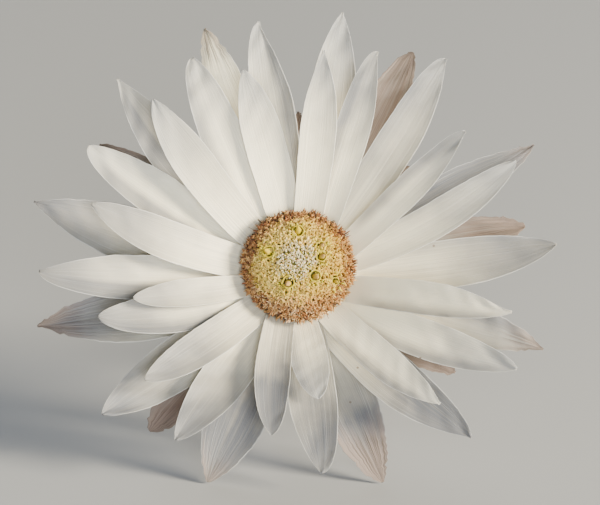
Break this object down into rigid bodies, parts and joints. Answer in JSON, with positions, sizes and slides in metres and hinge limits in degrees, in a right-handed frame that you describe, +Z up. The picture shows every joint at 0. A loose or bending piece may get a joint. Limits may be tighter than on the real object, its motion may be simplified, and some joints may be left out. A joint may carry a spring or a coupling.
{
  "type": "cut everlasting daisy",
  "caption": "Cut white everlasting daisy lying on its side: a papery bloom with a domed floret disc on a short curved stem.",
  "frame": {"origin": "middle of the bounding box on the table that the flower lies on", "axes": "+Z up from the table, -Y where the bloom faces, +Y along the stem from the bloom to its cut end, +X to the right of someone facing the bloom"},
  "size_m": [0.056, 0.0693, 0.0456],
  "materials": {
    "stem": "dry green-brown stalk, lightly ribbed and woolly",
    "involucre_scales": "straw-brown papery scales",
    "rose_bracts": "matt pink-brown papery bracts",
    "white_bracts": "satin cream-white papery bracts, finely lined, some with brown tips",
    "spent_florets": "dry rust-brown florets",
    "cream_florets": "matt cream and yellow florets",
    "centre_buds": "pale bristly buds"
  },
  "bodies": {
    "root": {"stem": "stem", "involucre_scales": "involucre_scales", "rose_bracts": "rose_bracts", "white_bracts": "white_bracts", "spent_florets": "spent_florets", "cream_florets": "cream_florets", "centre_buds": "centre_buds"}
  },
  "joints": []
}
